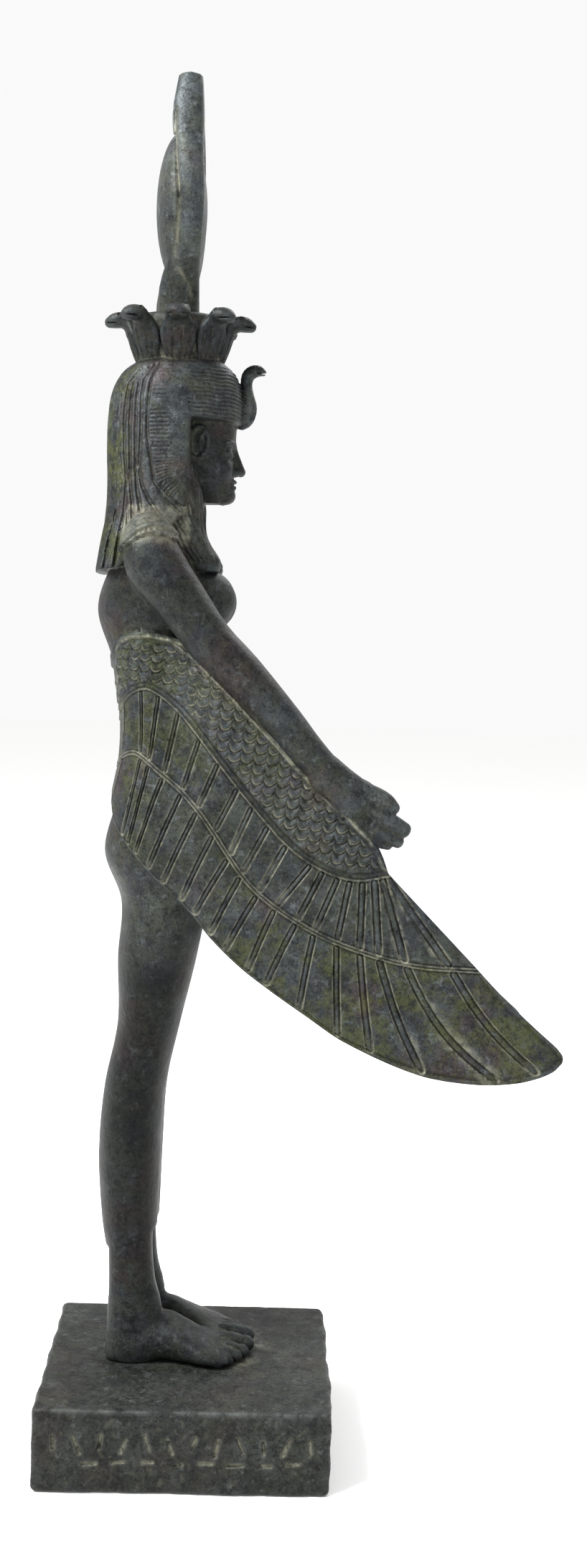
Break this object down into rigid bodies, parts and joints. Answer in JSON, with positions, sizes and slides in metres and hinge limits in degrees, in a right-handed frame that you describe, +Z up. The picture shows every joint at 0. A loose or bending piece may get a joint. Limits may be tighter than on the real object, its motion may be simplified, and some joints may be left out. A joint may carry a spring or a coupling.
{
  "type": "winged goddess figurine",
  "caption": "Standing winged goddess in a long wig and horned disc crown, arms and feathered wings held forward, on a rectangular plinth.",
  "frame": {"origin": "centre of the plinth's underside", "axes": "+Z up, the figure faces -Y, +X towards the figure's left, on the far side in the picture"},
  "size_m": [0.1327, 0.2226, 0.6071],
  "materials": {
    "figure_bronze": "dark green-brown patinated cast bronze, semi-matt, pale residue in the carving",
    "base_bronze": "dark brown patinated cast bronze, semi-matt"
  },
  "bodies": {
    "root": {"figure": "figure_bronze", "base": "base_bronze"}
  },
  "joints": []
}
